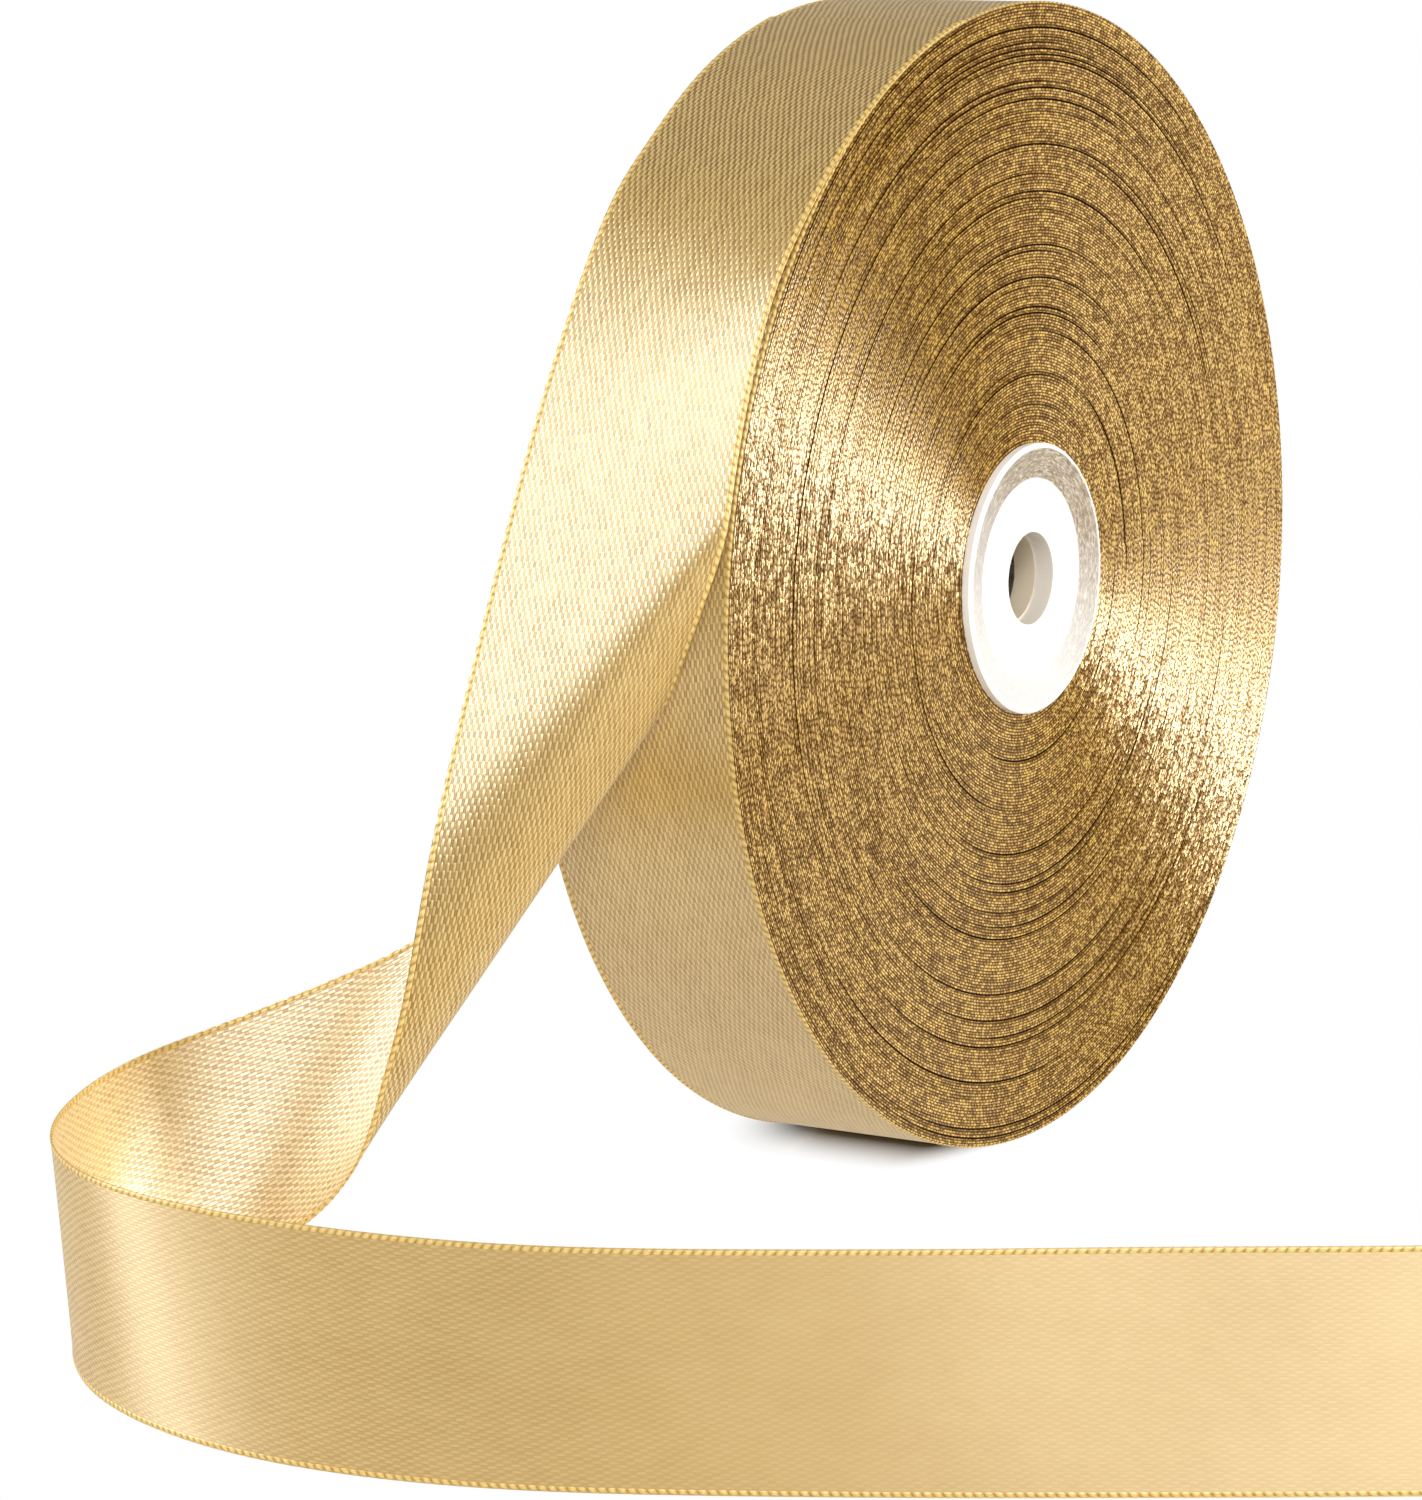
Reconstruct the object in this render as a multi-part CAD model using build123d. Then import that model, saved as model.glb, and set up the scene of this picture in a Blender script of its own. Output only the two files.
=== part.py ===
from build123d import *
import math
import os

# Roll of one-inch satin ribbon on a moulded plastic core, standing on its rim, with its free
# tail unwinding to the left, curling over and standing on edge along the table.
# Row frame: origin at the middle of the core's spindle bore, Y along the bore, +Z up.
# -Y is the front face. The table is at z = -ROLL_D / 2. Millimetres.

# ---- ribbon ---------------------------------------------------------------------------
RIBBON_W = 25.4          # one-inch ribbon
ROLL_D = 132.8           # full roll, 100 yards wound at 0.142 mm a turn
STRIP_T = 0.4            # free tail, thickened from the cloth's own 0.14 so that it is a solid

# ---- wound pack -----------------------------------------------------------------------
WIND_D = 28.0            # core barrel that the first turn lies on
TAPE_T = 0.15            # double-sided starting tape
TAPE_L = 24.0            # its length round the barrel
TAPE_EDGE = 1.2          # its margin from each edge of the ribbon
TAPE_GAP = 0.05          # first turn over the tape, and tape over the barrel
BAND_STEP = 0.22         # how far a loose band of turns stands back from its neighbours
BAND_LIP = 0.45          # radial length of the slope between two bands
BAND_SHARES = (0.42, 0.85)

# ---- moulded core ---------------------------------------------------------------------
FLANGE_D = 31.5          # retaining flange on each end
FLANGE_T = 1.3           # how far the flange stands proud of the ribbon's face
FLANGE_GAP = 0.1         # flange's under side to the ribbon's face
DISH_D = 23.0            # flat floor of the dished face, inside its sloping band
DISH_DEPTH = 0.9         # floor of the dish below the rim
FACE_T = 1.5             # end wall
BARREL_T = 1.7           # barrel wall
BORE_D = 10.3            # spindle bore
COLLAR_T = 1.4           # wall of the spindle collar
COLLAR_H = 5.0           # collar length, from the floor of the dish
MOUTH_STEP = 0.25        # shoulder between the bore and its wider mouth
MOUTH_L = 2.3            # depth of the mouth, from the floor of the dish
RIB_N = 6                # stiffening ribs between collar and barrel
RIB_T = 1.1
RIB_SET = 0.8            # ribs stop this far short of the collar's end
EDGE_R = 0.35            # moulded outer edge of the flange

# ---- snap joint between the two halves ------------------------------------------------
SPIGOT_L = 4.2           # spigot of the front half into the back half
SPIGOT_T = 0.8
SNAP_GAP = 0.05          # radial running clearance of the spigot in its socket
BEAD_H = 0.22            # snap bead
BEAD_L = 0.9
BEAD_SET = 0.9           # bead's centre from the spigot's end
SEAT_GAP = 0.1           # spigot's end to the bottom of the socket

# ---- free tail ------------------------------------------------------------------------
TAIL_GAP = 0.35          # inner face of the tail over the turning pack
LEAD_DEG = 100.0         # where the tail starts, counted from +X towards +Z

ROLL_R = ROLL_D / 2
HALF_W = RIBBON_W / 2
WIND_R = WIND_D / 2
FACE_Y = HALF_W + FLANGE_T
FLOOR_Y = FACE_Y - DISH_DEPTH
BORE_R = BORE_D / 2
MOUTH_R = BORE_R + MOUTH_STEP
COLLAR_R = BORE_R + COLLAR_T
BARREL_IN = WIND_R - BARREL_T
SPIGOT_R = BARREL_IN + SPIGOT_T
SOCKET_R = SPIGOT_R + SNAP_GAP
COLLAR_END = FLOOR_Y - COLLAR_H
WALL_IN = FLOOR_Y - FACE_T
TAPE_R = WIND_R + TAPE_GAP
PACK_IN = TAPE_R + TAPE_T + TAPE_GAP
STRIP_UP = TAIL_GAP + STRIP_T / 2


def end_profile(side):
    """Points (radius, y) shared by both ends: flange, dish, mouth, bore and collar."""
    lip = HALF_W + FLANGE_GAP
    pts = [
        (WIND_R, lip),
        (FLANGE_D / 2, lip),
        (FLANGE_D / 2, FACE_Y - EDGE_R),
        (FLANGE_D / 2 - EDGE_R, FACE_Y),
        (DISH_D / 2, FLOOR_Y),
        (MOUTH_R, FLOOR_Y),
        (MOUTH_R, FLOOR_Y - MOUTH_L),
        (BORE_R, FLOOR_Y - MOUTH_L),
        (BORE_R, COLLAR_END),
        (COLLAR_R, COLLAR_END),
        (COLLAR_R, WALL_IN),
        (BARREL_IN, WALL_IN),
    ]
    return [(r, side * y) for r, y in pts]


def turned(points):
    """Revolves a closed (radius, y) outline about the bore."""
    outline = Polyline(*[(r, y, 0) for r, y in points], close=True)
    return revolve(make_face(outline), Axis.Y, 360)


def ribs(side):
    """Radial ribs behind the end wall, from the collar to the barrel."""
    inner = BORE_R + COLLAR_T / 2
    outer = BARREL_IN + SPIGOT_T / 2
    low = COLLAR_END + RIB_SET
    high = WALL_IN + FACE_T / 2
    bar = Pos((inner + outer) / 2, side * (low + high) / 2, 0)
    bar = bar * Box(outer - inner, high - low, RIB_T)
    return [Rot(0, 360 / RIB_N * i, 0) * bar for i in range(RIB_N)]


def front_core():
    bead_y = SPIGOT_L - BEAD_SET
    spigot = [
        (BARREL_IN, SPIGOT_L),
        (SPIGOT_R, SPIGOT_L),
        (SPIGOT_R, bead_y + BEAD_L / 2),
        (SPIGOT_R + BEAD_H, bead_y),
        (SPIGOT_R, bead_y - BEAD_L / 2),
        (SPIGOT_R, 0),
        (WIND_R, 0),
    ]
    return turned(end_profile(-1) + spigot) + ribs(-1)


def back_core():
    bead_y = SPIGOT_L - BEAD_SET
    step = SPIGOT_L + SEAT_GAP
    socket = [
        (BARREL_IN, step),
        (SOCKET_R, step),
        (SOCKET_R, bead_y + BEAD_L / 2 + SNAP_GAP),
        (SOCKET_R + BEAD_H, bead_y),
        (SOCKET_R, bead_y - BEAD_L / 2 - SNAP_GAP),
        (SOCKET_R, 0),
        (WIND_R, 0),
    ]
    return turned(end_profile(1) + socket) + ribs(1)


def start_tape():
    """Double-sided tape on the barrel, under the first turn."""
    width = RIBBON_W - 2 * TAPE_EDGE
    middle = TAPE_R + TAPE_T / 2
    angle = math.degrees(TAPE_L / middle)
    strip = Pos(middle, 0, 0) * Rectangle(TAPE_T, width)
    return revolve(strip, Axis.Y, angle)


def wound_pack():
    """The turns as one ring. Bands of turns stand slightly in or out, as wound tension varies."""
    depth = ROLL_R - PACK_IN
    marks = [PACK_IN + share * depth for share in BAND_SHARES]
    edge = [(PACK_IN, HALF_W)]
    inset = 0.0
    for i, mark in enumerate(marks):
        edge.append((mark - BAND_LIP / 2, HALF_W - inset))
        inset = BAND_STEP if i % 2 == 0 else 0.0
        edge.append((mark + BAND_LIP / 2, HALF_W - inset))
    edge.append((ROLL_R - BAND_LIP / 2, HALF_W - inset))
    edge.append((ROLL_R, HALF_W))
    mirrored = [(r, -y) for r, y in reversed(edge)]
    return turned(edge + mirrored)


def on_roll(angle, lift, side, shift):
    """A point of the tail's edge near the roll: angle about the bore, and height off the pack."""
    reach = ROLL_R + STRIP_UP + lift
    turn = math.radians(angle)
    return Vector(reach * math.cos(turn), side * HALF_W + shift, reach * math.sin(turn))


def on_table(out, along, height):
    """A point of the tail's edge by the table: distance left of the roll, place along Y, and
    height above the table as a share of the ribbon's width."""
    return Vector(-ROLL_R - out, along, -ROLL_R + height * RIBBON_W)


# Straight lines of the bent ribbon, from its back edge to its front edge, in order along it.
# Near the roll: angle, lift and shift of the back edge, then of the front edge.
ROLL_LINES = (
    (LEAD_DEG, 0.0, 0.0, LEAD_DEG, 0.0, 0.0),
    (108.0, 0.0, 0.0, 108.0, 0.0, 0.0),
    (117.0, 0.0, 0.0, 117.0, 0.0, 0.0),
    (127.0, 0.1, 0.1, 127.0, 0.3, 0.0),
    (137.5, 0.3, 0.3, 136.0, 0.7, 0.1),
    (158.0, 2.0, 0.3, 143.0, 1.0, 0.2),
    (177.5, 10.0, 0.2, 152.0, 0.7, 0.2),
    (190.0, 21.3, 0.0, 162.0, 0.7, 0.1),
    (198.8, 29.7, 1.3, 168.0, 0.6, 0.9),
    (204.0, 34.6, 3.9, 179.0, 0.5, 5.7),
    (208.5, 38.4, 7.7, 187.5, 1.2, 13.1),
)
# By the table: out, along and height of the back edge, then of the front edge.
TABLE_LINES = (
    (27.0, 27.0, 0.35, 4.5, 19.0, 1.60),
    (31.0, 35.5, 0.15, 10.0, 31.0, 1.29),
    (38.5, 41.5, 0.05, 21.5, 41.5, 1.11),
    (46.0, 42.5, 0.01, 34.5, 45.5, 1.03),
    (52.5, 39.5, 0.0, 53.0, 40.0, 1.0),
    (63.5, 27.5, 0.0, 66.5, 25.5, 1.0),
    (71.0, 6.5, 0.0, 71.5, 5.5, 1.0),
    (70.5, -17.5, 0.0, 70.5, -19.5, 1.0),
    (60.5, -46.5, 0.0, 63.0, -43.5, 1.0),
    (42.0, -86.0, 0.0, 44.0, -83.0, 1.0),
    (21.5, -129.5, 0.0, 23.0, -129.0, 1.0),
)
# The tail is parted where its bend changes, so that each solid keeps an open inner side.
# Name, first line, last line, and lofted sections from one line to the next.
TAIL_NODES = (
    ("tail_lead", 0, 8, 2),
    ("tail_curl", 8, 14, 2),
    ("tail_fold", 14, 17, 2),
    ("tail_run", 17, 21, 1),
)


def tail_rails():
    """Back edge and front edge of the tail, as smooth curves through the lines' ends."""
    back = []
    front = []
    for a_deg, a_lift, a_shift, b_deg, b_lift, b_shift in ROLL_LINES:
        back.append(on_roll(a_deg, a_lift, 1, a_shift))
        front.append(on_roll(b_deg, b_lift, -1, b_shift))
    for a_out, a_y, a_h, b_out, b_y, b_h in TABLE_LINES:
        back.append(on_table(a_out, a_y, a_h))
        front.append(on_table(b_out, b_y, b_h))
    return back, front


def curve_point(points, place):
    """A point and direction of the smooth curve through points, at a place counted in points."""
    last = len(points) - 1
    i = min(int(place), last - 1)
    f = place - i
    here, there = points[i], points[i + 1]
    before = points[i - 1] if i > 0 else here * 3 - there * 3 + points[2]
    after = points[i + 2] if i + 2 <= last else there * 3 - here * 3 + points[last - 2]
    m0 = (there - before) * 0.5
    m1 = (after - here) * 0.5
    f2 = f * f
    f3 = f2 * f
    spot = here * (2 * f3 - 3 * f2 + 1) + m0 * (f3 - 2 * f2 + f)
    spot = spot + there * (3 * f2 - 2 * f3) + m1 * (f3 - f2)
    way = here * (6 * f2 - 6 * f) + m0 * (3 * f2 - 4 * f + 1)
    way = way + there * (6 * f - 6 * f2) + m1 * (3 * f2 - 2 * f)
    return spot, way


def tail_section(rails, place):
    """Cross-section of the strip along one straight line of the bent ribbon."""
    a, a_way = curve_point(rails[0], place)
    b, b_way = curve_point(rails[1], place)
    line = b - a
    out = (a_way + b_way).cross(line).normalized() * (STRIP_T / 2)
    return make_face(Polyline(a + out, b + out, b - out, a - out, close=True))


def tail_node(rails, first, last, steps):
    count = (last - first) * steps
    places = [first + i / steps for i in range(count + 1)]
    return loft([tail_section(rails, p) for p in places], ruled=True)


def main():
    rails = tail_rails()
    nodes = {
        "core_front": front_core(),
        "core_back": back_core(),
        "start_tape": start_tape(),
        "ribbon_pack": wound_pack(),
    }
    for name, first, last, steps in TAIL_NODES:
        nodes[name] = tail_node(rails, first, last, steps)
    os.makedirs("parts", exist_ok=True)
    for name, shape in nodes.items():
        solids = shape.solids()
        box = shape.bounding_box()
        print(name, len(solids), round(shape.volume, 2), box.min, box.max)
        export_step(solids[0] if len(solids) == 1 else shape, f"parts/{name}.step")


main()
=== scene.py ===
import bpy
import math
import numpy as np
from mathutils import Matrix, Vector


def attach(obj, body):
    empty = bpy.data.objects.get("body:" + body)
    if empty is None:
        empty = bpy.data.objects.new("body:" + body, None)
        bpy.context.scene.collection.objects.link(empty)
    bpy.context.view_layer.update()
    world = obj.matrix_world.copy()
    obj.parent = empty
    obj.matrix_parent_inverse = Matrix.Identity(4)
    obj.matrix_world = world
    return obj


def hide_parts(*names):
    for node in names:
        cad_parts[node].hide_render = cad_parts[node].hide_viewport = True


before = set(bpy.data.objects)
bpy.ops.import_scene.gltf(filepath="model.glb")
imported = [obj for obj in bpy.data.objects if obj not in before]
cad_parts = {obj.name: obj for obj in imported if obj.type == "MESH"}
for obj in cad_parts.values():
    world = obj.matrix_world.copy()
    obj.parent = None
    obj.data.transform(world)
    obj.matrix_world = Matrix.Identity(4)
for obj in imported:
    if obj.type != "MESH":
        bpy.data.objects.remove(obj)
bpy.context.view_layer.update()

# A roll of satin ribbon on a moulded core, its free end twisting down and along the table. The bore
# runs along +Y through the origin, the face that the photograph shows is at -Y, and +Z is up.

# ---------------------------------------------------------------- sizes, in metres
MM = 0.001
TURN = 2 * math.pi
RIBBON_W = 25.4 * MM
HALF_W = RIBBON_W / 2
ROLL_R = 66.4 * MM
PACK_IN = 14.3 * MM               # inner radius of the wound turns that are drawn
CLOTH = 0.16 * MM                 # drawn thickness of the ribbon
SHARP = 1.0                       # radians; where the cloth's faces meet at more, they stay crisp
TAIL_LIFT = 0.12 * MM             # middle of the tail's cloth over the turn below it

BEAD = 1.0 * MM                   # pitch of the beads along the ribbon's edge cord
CORD_WIDE = 0.32 * MM             # half the cord's width, in the plane of the cloth
CORD_THICK = 0.16 * MM            # half its thickness
CORD_IN = 0.35 * MM               # middle of the cord, in from the ribbon's edge
CORD_SIDES, CORD_STEPS = 8, 4     # sides of the cord, and steps along each bead

RIM_R = ROLL_R - 0.03 * MM        # outermost turn, so that its waves stay inside the roll
RIM_CORD_R = ROLL_R - 0.09 * MM   # middle of the rim's edge cords
FACE_OUT = ROLL_R - 0.14 * MM     # outer edge of the side faces, under the rim's edge cord
LAP = 0.34 * MM                   # pitch of the faces' spiral: two or three turns go in one row
FACE_STEPS = 300                  # steps round the faces
FACE_DEEPEST, FACE_HIGHEST = -0.65 * MM, 0.10 * MM    # limits, from the ribbon's edge
LAPS_OUT_OF_ROUND = 0.025 * MM
LOOSE_AT = (1.7, -1.6)            # where laps come apart, near the top and the bottom, in radians
DARK_FROM, DARK_EASE = 0.14, 0.2  # gaps over which the painted shade of the dark lines fades in, in millimetres
DARK_ACROSS = (0.35, 0.8)         # where across a row the painted shade fades out
# Section of one row of the spiral: place across the row, height above its gap.
ROW_PROFILE = ((0.0, 0.0), (0.14, 0.1), (0.32, 0.75), (0.62, 1.0), (0.90, 0.4))

RAIL_STEPS = 14                   # steps from one line of the tail to the next
TAIL_COLS = 35                    # points across the tail
RIM_STEPS, RIM_COLS = 720, 25     # steps round the rim, and points across it
RIM_WAVE = 0.02 * MM              # height of each slow wave of the rim
TAIL_WAVE = 0.05 * MM             # height of each slow wave of the tail
WAVE_FROM, WAVE_EASE = 0.06, 0.05     # where along the tail the waves fade in
BOW = 2.2 * MM                    # how far the last of the run bows away
BOW_FROM, BOW_LENGTH = 0.308, 0.075   # where along the tail it does
# How strongly the weave shows: metres along the tail, or height on the rim, and strength.
TAIL_RELIEF = ((0.01, 2.4), (0.03, 2.2), (0.045, 1.2), (0.06, 0.65),
               (0.09, 0.9), (0.15, 1.2), (0.235, 0.4), (0.30, 0.12))
RIM_RELIEF = ((-0.03, 0.7), (0.02, 1.1), (0.06, 2.2))
REVERSE_RELIEF_LEAST = 0.5        # on the tail's reverse it is never weaker than this

# The tail's route, as in part.py: straight lines of the bent ribbon, from its back edge to its
# front edge, in order along it. In degrees and millimetres, but for heights over the table.
LEAD_DEG = 100.0                  # where the tail starts, counted from +X towards +Z
# Near the roll: angle, lift and shift of the back edge, then of the front edge.
ROLL_LINES = (
    (LEAD_DEG, 0.0, 0.0, LEAD_DEG, 0.0, 0.0),
    (108.0, 0.0, 0.0, 108.0, 0.0, 0.0),
    (117.0, 0.0, 0.0, 117.0, 0.0, 0.0),
    (127.0, 0.1, 0.1, 127.0, 0.3, 0.0),
    (137.5, 0.3, 0.3, 136.0, 0.7, 0.1),
    (158.0, 2.0, 0.3, 143.0, 1.0, 0.2),
    (177.5, 10.0, 0.2, 152.0, 0.7, 0.2),
    (190.0, 21.3, 0.0, 162.0, 0.7, 0.1),
    (198.8, 29.7, 1.3, 168.0, 0.6, 0.9),
    (204.0, 34.6, 3.9, 179.0, 0.5, 5.7),
    (208.5, 38.4, 7.7, 187.5, 1.2, 13.1),
)
# By the table: out, along and height of the back edge, then of the front edge. The height is in
# widths of the ribbon.
TABLE_LINES = (
    (27.0, 27.0, 0.35, 4.5, 19.0, 1.60),
    (31.0, 35.5, 0.15, 10.0, 31.0, 1.29),
    (38.5, 41.5, 0.05, 21.5, 41.5, 1.11),
    (46.0, 42.5, 0.01, 34.5, 45.5, 1.03),
    (52.5, 39.5, 0.0, 53.0, 40.0, 1.0),
    (63.5, 27.5, 0.0, 66.5, 25.5, 1.0),
    (71.0, 6.5, 0.0, 71.5, 5.5, 1.0),
    (70.5, -17.5, 0.0, 70.5, -19.5, 1.0),
    (60.5, -46.5, 0.0, 63.0, -43.5, 1.0),
    (42.0, -86.0, 0.0, 44.0, -83.0, 1.0),
    (21.5, -129.5, 0.0, 23.0, -129.0, 1.0),
)


# ---------------------------------------------------------------- camera
def build_camera(place, yaw, pitch, roll, lens):
    """Camera with yaw from +Y towards +X, pitch up and roll about the line of sight, in degrees."""
    yaw, pitch, roll = (math.radians(angle) for angle in (yaw, pitch, roll))
    level = math.cos(pitch)
    ahead = Vector((math.sin(yaw) * level, math.cos(yaw) * level, math.sin(pitch)))
    level_right = ahead.cross(Vector((0, 0, 1))).normalized()
    level_up = level_right.cross(ahead)
    right = math.cos(roll) * level_right + math.sin(roll) * level_up
    up = -math.sin(roll) * level_right + math.cos(roll) * level_up
    matrix = Matrix((right, up, -ahead)).transposed().to_4x4()
    matrix.translation = Vector(place)

    data = bpy.data.cameras.new("camera")
    data.lens = lens
    data.sensor_width = 36
    data.clip_start = 0.05
    data.clip_end = 20
    camera = bpy.data.objects.new("camera", data)
    bpy.context.scene.collection.objects.link(camera)
    bpy.context.scene.camera = camera
    camera.matrix_world = matrix


build_camera(place=(-0.5858, -0.3366, 0.1254), yaw=57.854, pitch=-12.2, roll=-2.0, lens=140.56)


# ---------------------------------------------------------------- meshes
def new_mesh(name, verts, faces, uvs=None, mats=(), mat_index=None, smooth=True):
    """A mesh object from arrays. uvs is one pair for each vertex; faces are quads."""
    verts = np.asarray(verts, dtype=np.float64)
    faces = np.asarray(faces, dtype=np.int64)
    mesh = bpy.data.meshes.new(name)
    mesh.from_pydata(verts.tolist(), [], faces.tolist())
    if uvs is not None:
        layer = mesh.uv_layers.new(name="uv")
        corners = np.zeros(len(mesh.loops), dtype=np.int64)
        mesh.loops.foreach_get("vertex_index", corners)
        layer.data.foreach_set("uv", np.asarray(uvs, dtype=np.float32)[corners].ravel())
    for material in mats:
        mesh.materials.append(material)
    if mat_index is not None:
        mesh.polygons.foreach_set("material_index", np.asarray(mat_index, dtype=np.int32))
    if smooth:
        mesh.polygons.foreach_set("use_smooth", np.ones(len(mesh.polygons), dtype=bool))
    mesh.update()
    ob = bpy.data.objects.new(name, mesh)
    bpy.context.scene.collection.objects.link(ob)
    return ob


def add_value(ob, name, values):
    """A number on each vertex, for the material to read."""
    attribute = ob.data.attributes.new(name, "FLOAT", "POINT")
    attribute.data.foreach_set("value", np.asarray(values, dtype=np.float32).ravel())


def grid_faces(rows, cols, close_cols=False, flip=False):
    """Quads of a grid of vertices, row by row."""
    i, j = np.meshgrid(np.arange(rows - 1), np.arange(cols if close_cols else cols - 1), indexing="ij")
    after = (j + 1) % cols
    corners = [i * cols + j, (i + 1) * cols + j, (i + 1) * cols + after, i * cols + after]
    quads = np.stack(corners, -1).reshape(-1, 4)
    return quads[:, ::-1] if flip else quads


def arc_length(line):
    """Distance along a line of points, from its start to each point."""
    steps = np.linalg.norm(np.diff(line, axis=0), axis=1)
    return np.concatenate([[0], np.cumsum(steps)])


def unit(vectors):
    """The same directions, one long."""
    return vectors / np.linalg.norm(vectors, axis=-1, keepdims=True)


def ripple(rng, u, v, waves_u, waves_v):
    """One slow wave over the cloth, with a random phase and strength."""
    return np.sin(waves_u * u + waves_v * v + rng.uniform(0, 6.28)) * rng.uniform(0.3, 1)


# ---------------------------------------------------------------- node trees
def srgb(r, g, b):
    """Linear colour of an 8-bit screen colour."""
    def linear(v):
        v = v / 255
        return v / 12.92 if v <= 0.04045 else ((v + 0.055) / 1.055) ** 2.4
    return (linear(r), linear(g), linear(b), 1)


class Value:
    """An output of a node. Python's own signs put a maths node behind it."""

    def __init__(self, tree, socket):
        self.tree = tree
        self.socket = socket

    def __add__(self, other):
        return self.tree.math("ADD", self, other)

    def __radd__(self, other):
        return self.tree.math("ADD", other, self)

    def __sub__(self, other):
        return self.tree.math("SUBTRACT", self, other)

    def __rsub__(self, other):
        return self.tree.math("SUBTRACT", other, self)

    def __mul__(self, other):
        return self.tree.math("MULTIPLY", self, other)

    def __truediv__(self, other):
        return self.tree.math("DIVIDE", self, other)

    def __pow__(self, other):
        return self.tree.math("POWER", self, other)


class Tree:
    """The node tree of a material or a world, with short calls."""

    def __init__(self, owner):
        owner.use_nodes = True
        self.owner = owner
        self.nodes = owner.node_tree.nodes
        self.links = owner.node_tree.links
        self.nodes.clear()

    def node(self, kind, inputs, output=0, **settings):
        """Adds a node, fills its inputs by name or number, and gives one of its outputs."""
        new = self.nodes.new(kind)
        for key, setting in settings.items():
            setattr(new, key, setting)
        for key, value in inputs.items():
            if isinstance(value, Value):
                self.links.new(value.socket, new.inputs[key])
            else:
                new.inputs[key].default_value = value
        return Value(self, new.outputs[output])

    def end(self, kind, shader):
        """Closes the tree with its output node and gives the material or world."""
        self.links.new(shader.socket, self.nodes.new(kind).inputs["Surface"])
        return self.owner

    def surface(self, inputs):
        """Closes a material's tree with one Principled shader."""
        return self.end("ShaderNodeOutputMaterial", self.node("ShaderNodeBsdfPrincipled", inputs))

    def math(self, operation, *values):
        return self.node("ShaderNodeMath", dict(enumerate(values)), operation=operation)

    def split(self, vector):
        """The three numbers of a vector."""
        first = self.node("ShaderNodeSeparateXYZ", {0: vector})
        return [Value(self, socket) for socket in first.socket.node.outputs]

    def join(self, x, y, z=0.0):
        return self.node("ShaderNodeCombineXYZ", {0: x, 1: y, 2: z})

    def uv(self):
        """The two texture coordinates, as the mesh holds them."""
        return self.split(self.node("ShaderNodeUVMap", {}, uv_map="uv"))[:2]

    def place(self):
        """Where the shaded point is on its object, in metres."""
        return self.node("ShaderNodeTexCoord", {}, "Object")

    def attribute(self, name):
        return self.node("ShaderNodeAttribute", {}, "Fac", attribute_name=name)

    def ray(self, kind):
        return self.node("ShaderNodeLightPath", {}, kind)

    def along_u(self):
        """The direction of the threads, for a stretched highlight."""
        return self.node("ShaderNodeTangent", {}, direction_type="UV_MAP", uv_map="uv")

    def random(self, vector):
        """One random number for each pair of whole numbers."""
        return self.node("ShaderNodeTexWhiteNoise", {"Vector": vector}, "Value", noise_dimensions="2D")

    def noise(self, vector, scale=1.0, detail=2.0, rough=0.5, dims="3D"):
        inputs = {"Vector": vector, "Scale": scale, "Detail": detail, "Roughness": rough}
        return self.node("ShaderNodeTexNoise", inputs, "Fac", noise_dimensions=dims)

    def ramp(self, value, stops):
        """A colour that follows value through stops of (place, colour)."""
        colour = self.node("ShaderNodeValToRGB", {0: value})
        elements = colour.socket.node.color_ramp.elements
        while len(elements) < len(stops):
            elements.new(0.5)
        for element, (place, stop) in zip(elements, stops):
            element.position = place
            element.color = stop
        return colour

    def remap(self, value, low, high, to_low=0.0, to_high=1.0):
        """Takes low to to_low and high to to_high, and holds what lies outside."""
        return self.node("ShaderNodeMapRange", dict(enumerate((value, low, high, to_low, to_high))))

    def mix(self, share, first, second):
        """A colour between two."""
        return self.node("ShaderNodeMix", {0: share, 6: first, 7: second}, 2, data_type="RGBA")

    def bump(self, height, strength, distance, below=None):
        inputs = {"Height": height, "Strength": strength, "Distance": distance}
        if below is not None:
            inputs["Normal"] = below
        return self.node("ShaderNodeBump", inputs)


# ---------------------------------------------------------------- ribbon materials
MM_PER_M = 1000.0
ACROSS = 0.25                     # a quarter turn, which lays the stretched highlight across the threads
FLOAT_SHIFT = 0.54                # how far each column of floats is moved from the last
EDGE_BEAD = 0.76                  # pitch of the beads on the wound edges, in millimetres


def weave(t, u, v, along, across, share):
    """Staggered floats: height 0 to 1, the float's ends, a random value for each, and its arch.

    u and v are in millimetres. along and across are the pattern's repeats, and share is the part
    of the repeat that a float covers.
    """
    place_across = v / across
    column = t.math("FLOOR", place_across)
    place_along = u / along + column * FLOAT_SHIFT
    run = t.math("MINIMUM", t.math("FRACT", place_along) / share, 1.0)
    # an arched float: rounded across, drawn in at its two ends
    ends = t.math("MAXIMUM", t.math("SINE", run * math.pi), 0.0) ** 0.4
    round_across = t.math("SINE", t.math("FRACT", place_across) * math.pi)
    own = t.random(t.join(t.math("FLOOR", place_along), column))
    arch = run * (1.0 - run) * 4.0
    return round_across * (0.7 + ends * 0.3), ends, own, arch * round_across


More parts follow.
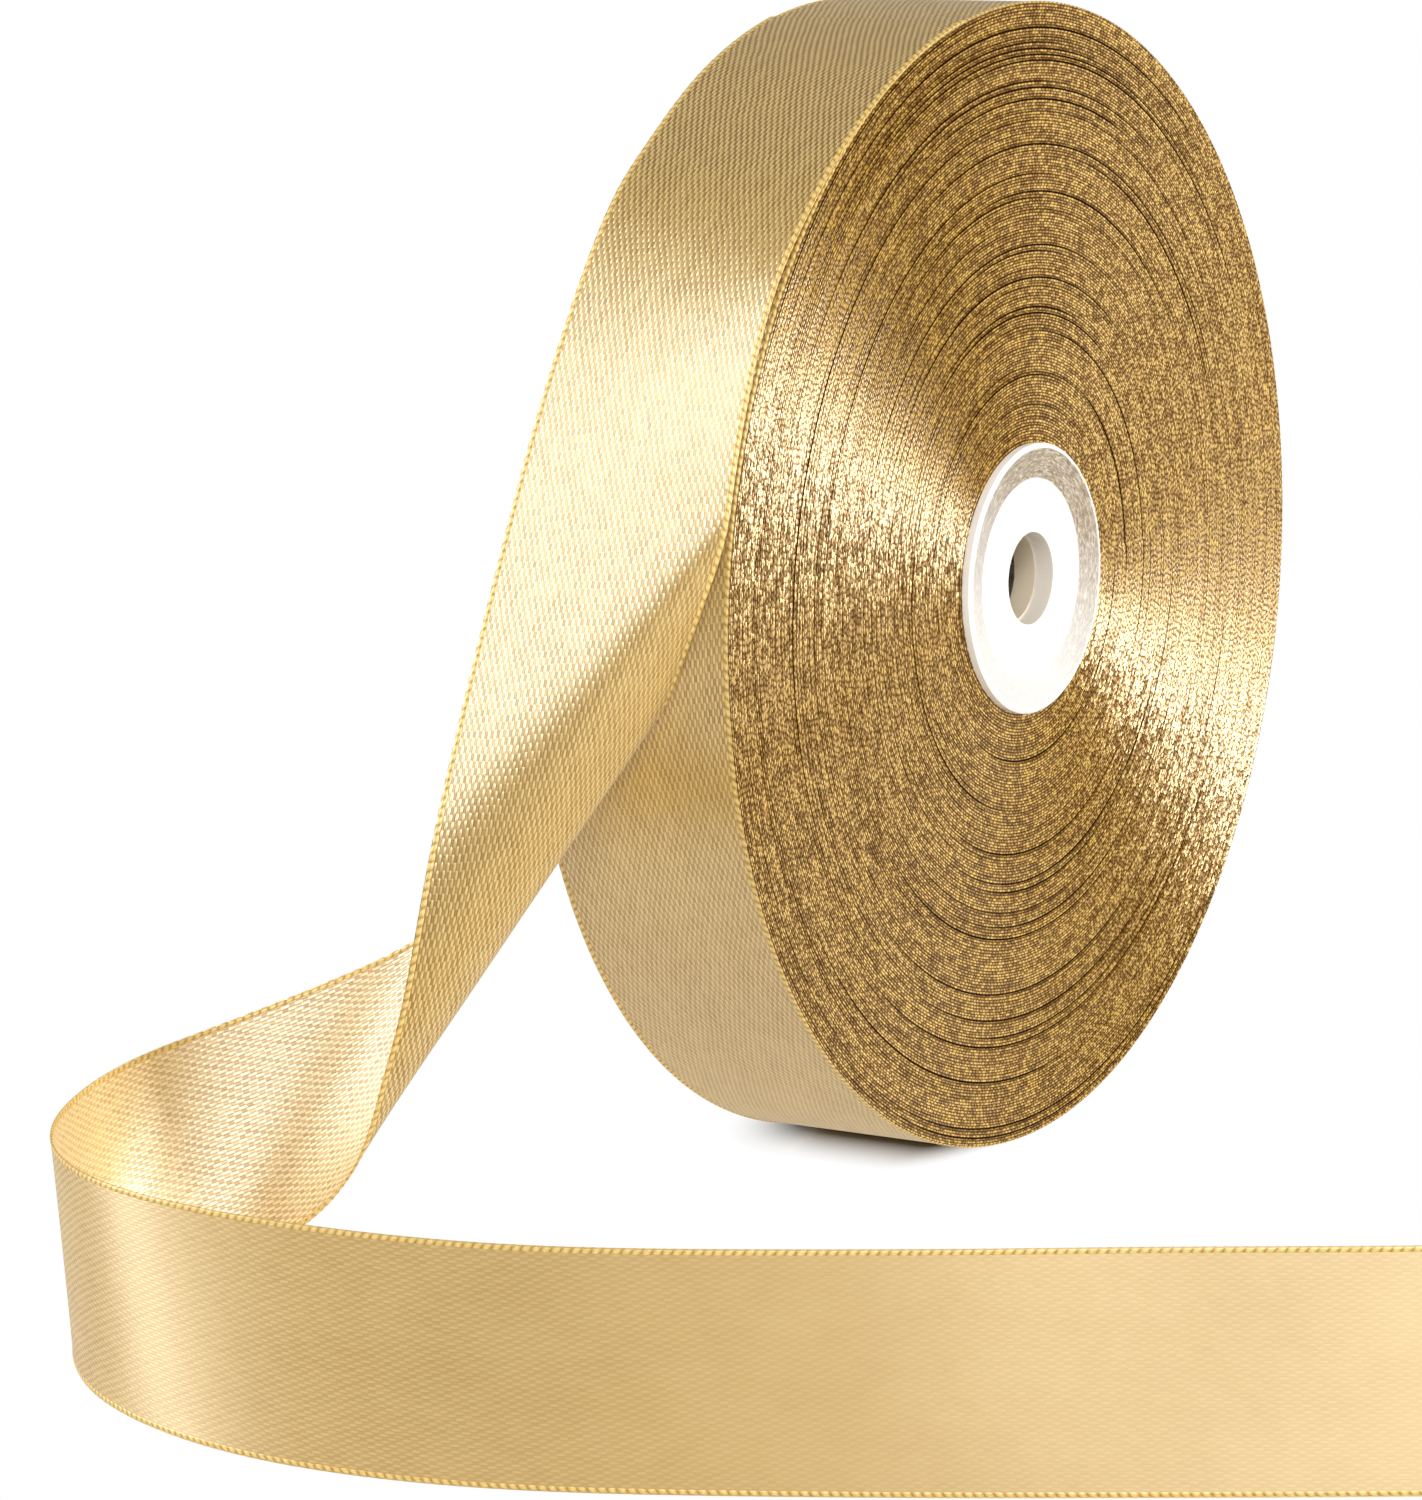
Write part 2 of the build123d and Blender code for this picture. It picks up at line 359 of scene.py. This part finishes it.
def satin(name, stops, floats, rough, shine, tint, stretch):
    """Woven polyester satin.

    stops are the colours of the gaps, the threads and their tops. floats holds the last three
    values of weave. rough is the roughness of the gaps and of the threads. shine and tint are the
    strength and colour of the threads' highlight, and stretch is how far it is drawn out.
    """
    t = Tree(bpy.data.materials.new(name))
    u, v = t.uv()
    u, v = u * MM_PER_M, v * MM_PER_M
    # the threads wander a little, so the pattern isn't ruled
    wander = t.noise(t.join(u * 0.11, v * 0.16), rough=0.6)
    height, ends, own, arch = weave(t, u + wander * 1.6, v, *floats)
    # the weave lies flatter where the ribbon is laid out along the table
    relief = t.attribute("relief")
    cloud = t.noise(t.join(u * 0.09, v * 0.14, 4.0), detail=3.0, rough=0.6)
    grain = t.noise(t.join(u * 0.9, v * 5.5, 9.0), rough=0.6)
    tone = height * 0.35 + ends * 0.4 + own * 0.15 + (grain - 0.5) * 0.25
    middle = 0.47
    tone = middle + (tone - middle) * relief + (cloud - 0.5) * 0.12
    # tone at the gaps and on the threads
    gap, thread = 0.15, 0.6
    threads = t.bump(height, relief * 0.7, 0.04 * MM, t.bump(cloud, 0.1, 0.5 * MM))
    return t.surface({
        "Base Color": t.ramp(tone, list(zip((0.08, 0.45, 0.9), stops))),
        "Roughness": t.remap(tone, gap, thread, *rough),
        # the gaps between floats give back little of the lamps
        "Specular IOR Level": t.remap(tone, gap, thread, 0.4, shine),
        "Specular Tint": tint,
        "Metallic": 0.1,
        "IOR": 2.8,
        "Anisotropic": stretch,
        "Anisotropic Rotation": ACROSS,
        "Sheen Weight": 0.2,
        "Sheen Roughness": 0.4,
        "Tangent": t.along_u(),
        "Normal": t.bump(arch, relief, 0.022 * MM, threads),
    })


def selvedge():
    """The edge cord: beads of packed yarn. u runs along it, v once round it."""
    t = Tree(bpy.data.materials.new("selvedge"))
    u, v = t.uv()
    u = u * MM_PER_M
    bead = t.math("ABSOLUTE", t.math("SINE", (u + v) * (math.pi * MM / BEAD))) ** 0.6
    tone = bead * 0.6 + t.noise(t.join(u * 2.2, v * 5.0)) * 0.4
    stops = [(0.12, srgb(123, 87, 23)), (0.5, srgb(192, 151, 66)), (0.88, srgb(236, 207, 130))]
    return t.surface({
        "Base Color": t.ramp(tone, stops),
        "Roughness": t.remap(tone, 0.1, 0.9, 0.6, 0.4),
        "Metallic": 0.1,
        "IOR": 2.0,
        "Specular Tint": (1.0, 0.95, 0.74, 1),
        "Normal": t.bump(tone, 0.6, 0.06 * MM),
    })


def wound_edges():
    """Edges of the wound turns. u: length along the turn; v: rows from the core, one to a LAP."""
    t = Tree(bpy.data.materials.new("wound_edges"))
    u, v = t.uv()
    u = u * MM_PER_M
    row = v * MM_PER_M
    number = t.math("FLOOR", row)
    # beads of each row's selvedge, out of step from row to row
    start = t.node("ShaderNodeTexWhiteNoise", {"W": number}, "Value", noise_dimensions="1D")
    wander = t.noise(t.join(u * 0.35, number * 3.7), detail=1.0, dims="2D")
    place = u / EDGE_BEAD + start * 9.0 + wander * 2.0
    each = t.random(t.join(t.math("FLOOR", place), number))
    round_along = t.math("SINE", t.math("FRACT", place) * math.pi) ** 0.7
    round_across = t.math("SINE", t.math("FRACT", row) * math.pi)
    bead = round_along * round_across
    # fine yarns that slant across the row, and slow bands over many rows
    yarns = t.noise(t.join(u * 3.6 + row * 1.1, row * 2.2, 3.0), rough=0.6)
    band = t.noise(t.join(u * 0.02, row * 0.22, 3.0), detail=3.0, rough=0.6)
    tone = bead * 0.5 + each * 0.35 + (yarns - 0.5) * 0.5 + (band - 0.5) * 0.14
    middle = 0.48
    tone = middle + (tone - middle) * 1.4
    stops = [(0.08, srgb(72, 38, 0)), (0.36, srgb(130, 84, 0)),
             (0.54, srgb(174, 121, 8)), (0.85, srgb(252, 209, 86))]
    # painted shade: the gaps beside loose turns are coloured dark, and give back none of the lamps
    deep = t.attribute("deep")
    # each bead leans its own way, so that some catch the light and their neighbours don't
    lean = (each - 0.6) * t.math("FRACT", place)
    height = bead * 0.25 + round_across * 0.75 + yarns * 0.2 + lean * 2.3
    return t.surface({
        "Base Color": t.mix(deep, t.ramp(tone, stops), srgb(56, 28, 2)),
        "Roughness": t.remap(tone, 0.1, 0.7, 0.46, 0.35),
        "Specular IOR Level": t.remap(tone, 0.1, 0.6, 0.3, 1.0) * (1.0 - deep),
        # a deeper gold between the beads than on them
        "Specular Tint": t.mix(t.remap(tone, 0.15, 0.55), (1.0, 0.78, 0.35, 1), (1.0, 0.98, 0.85, 1)),
        "Metallic": 0.25,
        "IOR": 2.5,
        "Anisotropic": 1.0,
        "Anisotropic Rotation": ACROSS,
        "Tangent": t.along_u(),
        "Normal": t.bump(height, 0.8, 0.06 * MM),
    })


mat_satin = satin(
    "satin_face",
    stops=(srgb(134, 96, 24), srgb(194, 153, 64), srgb(228, 196, 111)),
    floats=(1.68, 0.34, 0.58),
    rough=(0.56, 0.35),
    shine=0.8,
    tint=(1.0, 0.97, 0.85, 1),
    stretch=0.95,
)
mat_reverse = satin(
    "satin_reverse",
    stops=(srgb(168, 123, 54), srgb(228, 194, 120), srgb(248, 222, 154)),
    floats=(1.55, 0.38, 0.62),
    rough=(0.6, 0.48),
    shine=0.95,
    tint=(1.0, 0.98, 0.93, 1),
    stretch=0.45,
)
mat_selvedge = selvedge()
mat_edges = wound_edges()


# ---------------------------------------------------------------- edge cords
def edge_cord(name, line, out, up):
    """A beaded cord along line. out points away from the cloth's middle, up along its normal."""
    at = arc_length(line)
    steps = int(at[-1] / (BEAD / CORD_STEPS))
    along = np.linspace(0, at[-1], steps + 1)
    middle, side, normal = (
        np.stack([np.interp(along, at, values[:, axis]) for axis in range(3)], -1)
        for values in (line, out, up))
    phi = np.arange(CORD_SIDES) / CORD_SIDES * TURN
    twist = math.pi * along[:, None] / BEAD + 0.5 * phi[None]
    # the cord is thinnest between two beads, and no two beads are quite alike
    own = 0.9 + 0.2 * np.random.RandomState(5).rand(steps)
    swell = 0.74 + 0.32 * np.abs(np.sin(twist)) ** 0.7 * own[(twist / math.pi).astype(int)]
    wide = CORD_WIDE * np.cos(phi)[None] * swell
    thick = CORD_THICK * np.sin(phi)[None] * swell
    verts = middle[:, None] + side[:, None] * wide[..., None] + normal[:, None] * thick[..., None]
    uv = np.stack(np.broadcast_arrays(along[:, None], (phi / TURN)[None]), -1)
    faces = grid_faces(steps + 1, CORD_SIDES, close_cols=True)
    cord = new_mesh(name, verts.reshape(-1, 3), faces, uv.reshape(-1, 2), (mat_selvedge,))
    return cord


# ---------------------------------------------------------------- free tail
def smooth_rail(points):
    """Cubic spline through points, its bend even over the first and the last stretch."""
    points = np.asarray(points, dtype=float)
    count = len(points)
    shares = np.zeros((count, count))
    sums = np.zeros_like(points)
    shares[0, :2] = (1, -1)
    shares[-1, -2:] = (-1, 1)
    for i in range(1, count - 1):
        shares[i, i - 1:i + 2] = (1, 4, 1)
        sums[i] = 6 * (points[i + 1] - 2 * points[i] + points[i - 1])
    bend = np.linalg.solve(shares, sums)
    rail = []
    for i in range(count - 1):
        for f in np.arange(RAIL_STEPS) / RAIL_STEPS:
            g = 1 - f
            straight = points[i] * g + points[i + 1] * f
            rail.append(straight + (g ** 3 - g) * bend[i] / 6 + (f ** 3 - f) * bend[i + 1] / 6)
    rail.append(points[-1])
    return np.array(rail)


def on_roll(degrees, lift, side, shift):
    """An edge's point near the roll: angle, lift off it, which edge, and shift along the bore."""
    angle = math.radians(degrees)
    reach = ROLL_R + TAIL_LIFT + lift * MM
    return (reach * math.cos(angle), side * HALF_W + shift * MM, reach * math.sin(angle))


def on_table(out, along, height):
    """An edge's point by the table: out from the roll, along the bore and over the table."""
    return (-ROLL_R - out * MM, along * MM, -ROLL_R + height * RIBBON_W)


def tail_rails():
    """Back edge and front edge of the tail, as smooth curves through the lines' ends."""
    back = []
    front = []
    for a_deg, a_lift, a_shift, b_deg, b_lift, b_shift in ROLL_LINES:
        back.append(on_roll(a_deg, a_lift, 1, a_shift))
        front.append(on_roll(b_deg, b_lift, -1, b_shift))
    for a_out, a_y, a_h, b_out, b_y, b_h in TABLE_LINES:
        back.append(on_table(a_out, a_y, a_h))
        front.append(on_table(b_out, b_y, b_h))
    return smooth_rail(back), smooth_rail(front)


def tail_waves(along, across):
    """Slow waves that a limp ribbon keeps from the roll. They fade in where it leaves the roll."""
    rng = np.random.RandomState(7)
    wave = np.zeros_like(along)
    for _ in range(7):
        waves_along, waves_across = rng.uniform(60, 190), rng.uniform(-90, 90)
        wave += ripple(rng, along, across, waves_along, waves_across)
    return wave * np.clip((along - WAVE_FROM) / WAVE_EASE, 0, 1) * TAIL_WAVE


def cloth_mesh(name, middle, normal, uv):
    """A closed sheet as thick as the cloth: satin face, reverse, and cut edges."""
    rows, cols = middle.shape[:2]
    count = rows * cols
    top = middle + normal * CLOTH / 2
    under = middle - normal * CLOTH / 2
    i = np.arange(rows - 1) * cols
    j = np.arange(cols - 1)
    satin_side, reverse_side, edge = 0, 1, 2
    parts = (
        (grid_faces(rows, cols), satin_side),
        (grid_faces(rows, cols, flip=True) + count, reverse_side),
        # the two long edges
        (np.stack([i, i + count, i + cols + count, i + cols], -1), edge),
        (np.stack([i, i + cols, i + cols + count, i + count], -1) + cols - 1, edge),
        # the start, which lies on the roll, and the free end
        (np.stack([j, j + 1, j + 1 + count, j + count], -1), satin_side),
        (np.stack([j, j + count, j + 1 + count, j + 1], -1) + (rows - 1) * cols, edge),
    )
    quads, slots = zip(*parts)
    cloth = new_mesh(name, np.concatenate([top, under]).reshape(-1, 3), np.concatenate(quads),
                     np.concatenate([uv, uv]), (mat_satin, mat_reverse, mat_selvedge),
                     np.repeat(slots, [len(part) for part in quads]))
    # the cut ends stay crisp, so that no light strip lies beside them
    cloth.data.set_sharp_from_angle(angle=SHARP)
    return cloth


def build_tail():
    """The free end of the ribbon, with its edge cords."""
    back, front = tail_rails()
    f = np.linspace(0, 1, TAIL_COLS)
    middle = back[:, None] * (1 - f)[None, :, None] + front[:, None] * f[None, :, None]
    downstream = np.gradient(middle, axis=0)
    normal = unit(np.cross(downstream, np.gradient(middle, axis=1)))
    along_back, along_front = arc_length(back), arc_length(front)
    along = along_back[:, None] * (1 - f)[None] + along_front[:, None] * f[None]
    across = np.repeat((f * RIBBON_W)[None], len(back), 0)
    middle = middle + normal * tail_waves(along, across)[..., None]
    bow = BOW * (np.clip(along - BOW_FROM, 0, 1) / BOW_LENGTH) ** 2
    middle = middle - normal * bow[..., None]
    uv = np.stack([along, across], -1).reshape(-1, 2)
    tail = cloth_mesh("ribbon_tail", middle, normal, uv)
    relief = np.interp(along, *zip(*TAIL_RELIEF))
    add_value(tail, "relief", np.stack([relief, np.maximum(relief, REVERSE_RELIEF_LEAST)]))
    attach(tail, "tail")
    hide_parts("tail_lead", "tail_curl", "tail_fold", "tail_run")
    for name, column, sign in (("tail_selvedge_back", 0, -1), ("tail_selvedge_front", -1, 1)):
        out = unit(middle[:, -1] - middle[:, 0]) * sign
        # square to the edge, so that the cord keeps its width where the ribbon twists
        way = unit(downstream[:, column])
        out = unit(out - way * np.sum(out * way, axis=1, keepdims=True))
        cord = edge_cord(name, middle[:, column] - out * CORD_IN, out, normal[:, column])
        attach(cord, "tail")


# ---------------------------------------------------------------- wound roll
def part_of_turn(theta, centre, spread):
    """1 near centre, easing to 0 further than spread from it, either way round."""
    away = np.abs((theta - centre + math.pi) % TURN - math.pi)
    return np.exp(-(away / spread) ** 4)


def wound_laps(rng, theta, laps):
    """Height and gap of each lap in millimetres, and how far the one before lies apart from it.

    Where laps lie apart, a deep gap opens between them, darkened with painted shade. Elsewhere the third
    value is None.
    """
    found = []
    drift = 0.0
    since_loose = 0
    for i in range(laps):
        drift = 0.8 * drift + rng.normal(0, 0.03)
        uneven = rng.uniform(0.3, 1.0)
        phase = rng.uniform(0, 6.28, 3)
        # slow waves round the turn, and a little roughness
        height = drift + 0.022 * uneven * np.sin(theta + phase[0]) + 0.014 * np.sin(3 * theta + phase[1])
        height = height + 0.008 * np.sin(7 * theta + phase[2]) + rng.normal(0, 0.007, len(theta))
        gap = np.full(len(theta), rng.uniform(0.03, 0.10))
        apart = None
        # the outer laps are looser
        if since_loose > 1 and rng.rand() < 0.15 + 0.5 * i / laps:
            # mostly across the top or the bottom, as the roll's own weight opens them
            centre = rng.choice(LOOSE_AT) + rng.normal(0, 0.5)
            apart = part_of_turn(theta, centre, rng.uniform(0.4, 1.05))
            gap = gap + rng.uniform(0.3, 0.6) * apart
            height = height + 0.05 * apart
            since_loose = 0
        elif rng.rand() < 0.4:
            centre = rng.uniform(0, 6.28)
            wide = rng.uniform(0.08, 0.2)
            gap = gap + wide * part_of_turn(theta, centre, rng.uniform(0.3, 1.2))
        since_loose += 1
        found.append((height, gap, apart))
    return found


def build_face(name, side, seed):
    """One side of the pack as a spiral of packed edges, with lips and gaps of uneven height."""
    rng = np.random.RandomState(seed)
    theta = np.arange(FACE_STEPS) / FACE_STEPS * TURN
    laps = int((ROLL_R - PACK_IN) / LAP)
    lap = (ROLL_R - PACK_IN) / laps
    radii = []
    heights = []
    deep = []
    rows = []
    for i, (height, gap, apart) in enumerate(wound_laps(rng, theta, laps)):
        if apart is not None:
            deep[-1] = np.maximum(deep[-1], apart)
        for place, up in ROW_PROFILE:
            radius = PACK_IN + (i + place) * lap + (theta / TURN) * lap
            radius = radius + LAPS_OUT_OF_ROUND * np.sin(5 * theta + i)
            radii.append(np.minimum(radius, FACE_OUT))
            heights.append(height - gap * (1 - up))
            # painted shade: only wide gaps are darkened, and only low down in them
            dark = np.clip((gap - DARK_FROM) / DARK_EASE, 0, 1)
            deep.append(dark * np.interp(place, DARK_ACROSS, (1.0, 0.0)))
            rows.append(np.full(FACE_STEPS, i + place))
    radii, heights, deep, rows = (np.array(values) for values in (radii, heights, deep, rows))
    heights = np.clip(heights * MM, FACE_DEEPEST, FACE_HIGHEST)
    # after a whole turn each lap meets the next one, and the outermost stays as it is
    after = len(ROW_PROFILE)
    radii, heights, deep = (
        np.concatenate([values, np.roll(values[:, :1], -after, axis=0)], axis=1)
        for values in (radii, heights, deep))
    radii[-after:, -1] = np.minimum(radii[-after:, -2] + 0.001 * MM, FACE_OUT)
    heights[-after:, -1] = heights[-after:, -2]
    rows = np.concatenate([rows, rows[:, :1]], axis=1)
    radii = np.maximum.accumulate(radii, axis=0)
    angle = np.append(theta, TURN)
    verts = np.stack([radii * np.cos(angle), side * (HALF_W + heights), radii * np.sin(angle)], -1)
    # u keeps one radius for each row, so that the beads stand square to it
    row_radius = PACK_IN + (np.floor(rows) + 0.5) * lap
    uv = np.stack([angle * row_radius, rows * MM], -1)
    faces = grid_faces(len(radii), len(angle), flip=side > 0)
    face = new_mesh(name, verts.reshape(-1, 3), faces, uv.reshape(-1, 2), (mat_edges,))
    # how strong the painted shade in each gap is, for the material to read
    add_value(face, "deep", deep)
    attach(face, "roll")


def build_rim():
    """The outermost turn's satin face, with its edge cords."""
    theta = np.linspace(0, TURN, RIM_STEPS + 1)[:, None]
    f = np.linspace(0, 1, RIM_COLS)[None]
    y = HALF_W - f * RIBBON_W
    rng = np.random.RandomState(3)
    radius = np.full((RIM_STEPS + 1, RIM_COLS), RIM_R)
    for _ in range(6):
        waves_round, waves_across = rng.randint(2, 9), rng.uniform(-160, 160)
        radius = radius + RIM_WAVE * ripple(rng, theta, y, waves_round, waves_across)
    radius[-1] = radius[0]
    x, y, z = np.broadcast_arrays(radius * np.cos(theta), y, radius * np.sin(theta))
    uv = np.stack(np.broadcast_arrays(theta * ROLL_R, f * RIBBON_W), -1)
    rim = new_mesh("ribbon_rim", np.stack([x, y, z], -1).reshape(-1, 3),
                   grid_faces(RIM_STEPS + 1, RIM_COLS), uv.reshape(-1, 2), (mat_satin,))
    add_value(rim, "relief", np.interp(z, *zip(*RIM_RELIEF)))
    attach(rim, "roll")
    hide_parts("ribbon_pack")
    ray = np.concatenate([np.cos(theta), 0 * theta, np.sin(theta)], axis=1)
    for name, side in (("rim_selvedge_back", 1), ("rim_selvedge_front", -1)):
        out = np.repeat([[0.0, side, 0.0]], RIM_STEPS + 1, 0)
        cord = edge_cord(name, ray * RIM_CORD_R + out * (HALF_W - CORD_IN), out, ray)
        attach(cord, "roll")


build_rim()
build_face("ribbon_face_front", -1, 11)
build_face("ribbon_face_back", 1, 12)
build_tail()


# ---------------------------------------------------------------- core
# Where each part of the core's face fades in or out, in millimetres from the bore's middle.
SLOPE_STARTS, SLOPE_ENDS = (11.5, 11.8), (15.3, 15.1)
BORE_WALL = (5.6, 5.2)


def core_material():
    """Milky moulded plastic: clean flat floor, a scuffed slope darkened further with painted shade, and
    walls inside the bore painted a shaded cream.
    """
    t = Tree(bpy.data.materials.new("core_plastic"))
    place = t.place()
    x, _, z = t.split(place)
    x, z = x * MM_PER_M, z * MM_PER_M
    radius = t.math("SQRT", x * x + z * z)
    cloud = t.noise(place, 180.0, 4.0, 0.6)
    scuff = t.noise(place, 900.0, 3.0, 0.7)
    # short scrapes that run out along the slope
    around_x, around_z = x / radius * 14.0, z / radius * 14.0
    scrape = t.noise(t.join(around_x, around_z, radius * 4.0), detail=4.0, rough=0.75)
    plain = t.ramp(cloud, [(0.3, srgb(234, 232, 228)), (0.7, srgb(243, 242, 240))])
    # the slope's colour: scuffs, darkened further with painted shade
    worn_and_shaded = t.ramp(scrape, [
        (0.3, srgb(98, 80, 58)), (0.5, srgb(150, 134, 112)), (0.72, srgb(224, 214, 198))])
    # painted shade: the slope is darker over the top and on the right
    from_top_right = t.math("COSINE", t.math("ARCTAN2", z, x) - 1.15)
    top_right_shade = t.remap(from_top_right, -0.8, 0.7, 0.35, 1.0)
    slope = t.remap(radius, *SLOPE_STARTS) * t.remap(radius, *SLOPE_ENDS)
    # painted shade: the walls inside the bore are coloured a darker cream than the rest
    bore_shade = t.remap(radius, *BORE_WALL)
    return t.surface({
        "Base Color": t.mix(bore_shade, t.mix(slope * top_right_shade, plain, worn_and_shaded), srgb(214, 200, 176)),
        "Roughness": t.remap(scuff, 0.3, 0.7, 0.28, 0.5),
        "Subsurface Weight": 0.15,
        "Subsurface Radius": (3.0 * MM, 2.6 * MM, 2.2 * MM),
        "Subsurface Scale": 0.6,
        "Normal": t.bump(scuff, 0.25, 0.08 * MM, t.bump(scrape, 0.3, 0.1 * MM)),
    })


def dress(node, material):
    """Gives a CAD node one material."""
    for slot in node.material_slots:
        slot.material = material
    if not node.material_slots:
        node.data.materials.append(material)


mat_core = core_material()
for name in ("core_front", "core_back", "start_tape"):
    dress(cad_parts[name], mat_core)


# ---------------------------------------------------------------- floor, backdrop, light
WHITE = (1, 1, 1, 1)
FLOOR_Z = -ROLL_R - 0.1 * MM
FLOOR_REACH = 3.0
FLOOR_GREY = (0.86, 0.86, 0.86, 1)        # what the object gets back from the floor
FLOOR_MIRRORED = (0.95, 0.91, 0.82, 1)    # what a shiny surface shows of it
SHADOW_FRONT, SHADOW_BACK = 0.003, 0.011  # how far the painted shadow's dark line under the roll runs each way
SHADOW_FADE = (0.012, 0.0225)             # distances over which the painted shadow turns to plain white
WORLD_LIGHT = 0.26
LAMP_DISTANCE = 1.5
LAMPS_AIM = Vector((-0.03, 0, -0.01))


def floor_material():
    """White floor, with a shadow painted into its colour where the roll stands, and plain white further
    off.
    """
    t = Tree(bpy.data.materials.new("floor_white"))
    x, y, _ = t.split(t.place())
    # distance from the painted shadow's dark line under the roll, which counts for more to the right,
    # front and back
    to_right, to_front, to_back = 5.0, 2.6, 1.6
    across = t.math("MAXIMUM", x * -1.0, x * to_right)
    ahead = (y * -1.0 - SHADOW_FRONT) * to_front
    behind = (y - SHADOW_BACK) * to_back
    along = t.math("MAXIMUM", t.math("MAXIMUM", behind, ahead), 0.0)
    far = t.math("SQRT", across * across + along * along)
    # painted shadow, darkest under the roll, where little light gets in; distances in fortieths of a
    # metre
    under = t.ramp(far * 40.0, [
        (0.40, (0.06, 0.055, 0.05, 1)), (0.56, (0.34, 0.33, 0.32, 1)), (0.8, (0.95, 0.97, 1.0, 1))])
    to_camera = t.ray("Is Camera Ray")
    shaded = t.node("ShaderNodeBsdfDiffuse", {"Color": t.mix(to_camera, FLOOR_GREY, under)})
    glow = t.mix(to_camera, FLOOR_MIRRORED, WHITE)
    plain = t.node("ShaderNodeEmission", {"Color": glow, "Strength": 1.0})
    # plain only where the camera or a shiny surface sees it, so that it doesn't light the object
    seen = t.math("MAXIMUM", to_camera, t.ray("Is Glossy Ray"))
    seen = t.math("MAXIMUM", seen, t.ray("Is Transmission Ray"))
    away = t.math("MAXIMUM", t.remap(far, *SHADOW_FADE), 1.0 - to_camera)
    both = t.node("ShaderNodeMixShader", {0: seen * away, 1: shaded, 2: plain})
    return t.end("ShaderNodeOutputMaterial", both)


def build_floor():
    """A square of floor under everything."""
    square = ((-1, -1), (1, -1), (1, 1), (-1, 1))
    corners = [(x * FLOOR_REACH, y * FLOOR_REACH, FLOOR_Z) for x, y in square]
    floor = new_mesh("floor", corners, [(0, 1, 2, 3)], mats=(floor_material(),), smooth=False)


def lamp(name, azimuth, elevation, size, power):
    """A soft box at an azimuth and elevation in degrees, turned to the object."""
    azimuth, elevation = math.radians(azimuth), math.radians(elevation)
    level = math.cos(elevation)
    way = Vector((math.cos(azimuth) * level, math.sin(azimuth) * level, math.sin(elevation)))
    place = way * LAMP_DISTANCE
    data = bpy.data.lights.new(name, "AREA")
    data.shape = "RECTANGLE"
    data.size, data.size_y = size
    data.energy = power
    ob = bpy.data.objects.new(name, data)
    bpy.context.scene.collection.objects.link(ob)
    turned = (LAMPS_AIM - place).to_track_quat("-Z", "Y").to_matrix().to_4x4()
    ob.matrix_world = Matrix.Translation(place) @ turned


def build_world():
    """Even soft light from all round, which the camera sees as plain white."""
    world = bpy.data.worlds.new("world")
    t = Tree(world)
    soft = t.node("ShaderNodeBackground", {"Color": WHITE, "Strength": WORLD_LIGHT})
    white = t.node("ShaderNodeBackground", {"Color": WHITE, "Strength": 1.0})
    both = t.node("ShaderNodeMixShader", {0: t.ray("Is Camera Ray"), 1: soft, 2: white})
    t.end("ShaderNodeOutputWorld", both)
    bpy.context.scene.world = world


build_floor()
lamp("front_right", azimuth=-78, elevation=8, size=(0.45, 0.5), power=18.5)
lamp("over_camera", azimuth=-143, elevation=34, size=(0.5, 0.6), power=14.5)
lamp("left_back", azimuth=112, elevation=28, size=(0.42, 1.0), power=18)
build_world()
bpy.context.scene.view_settings.view_transform = "Standard"
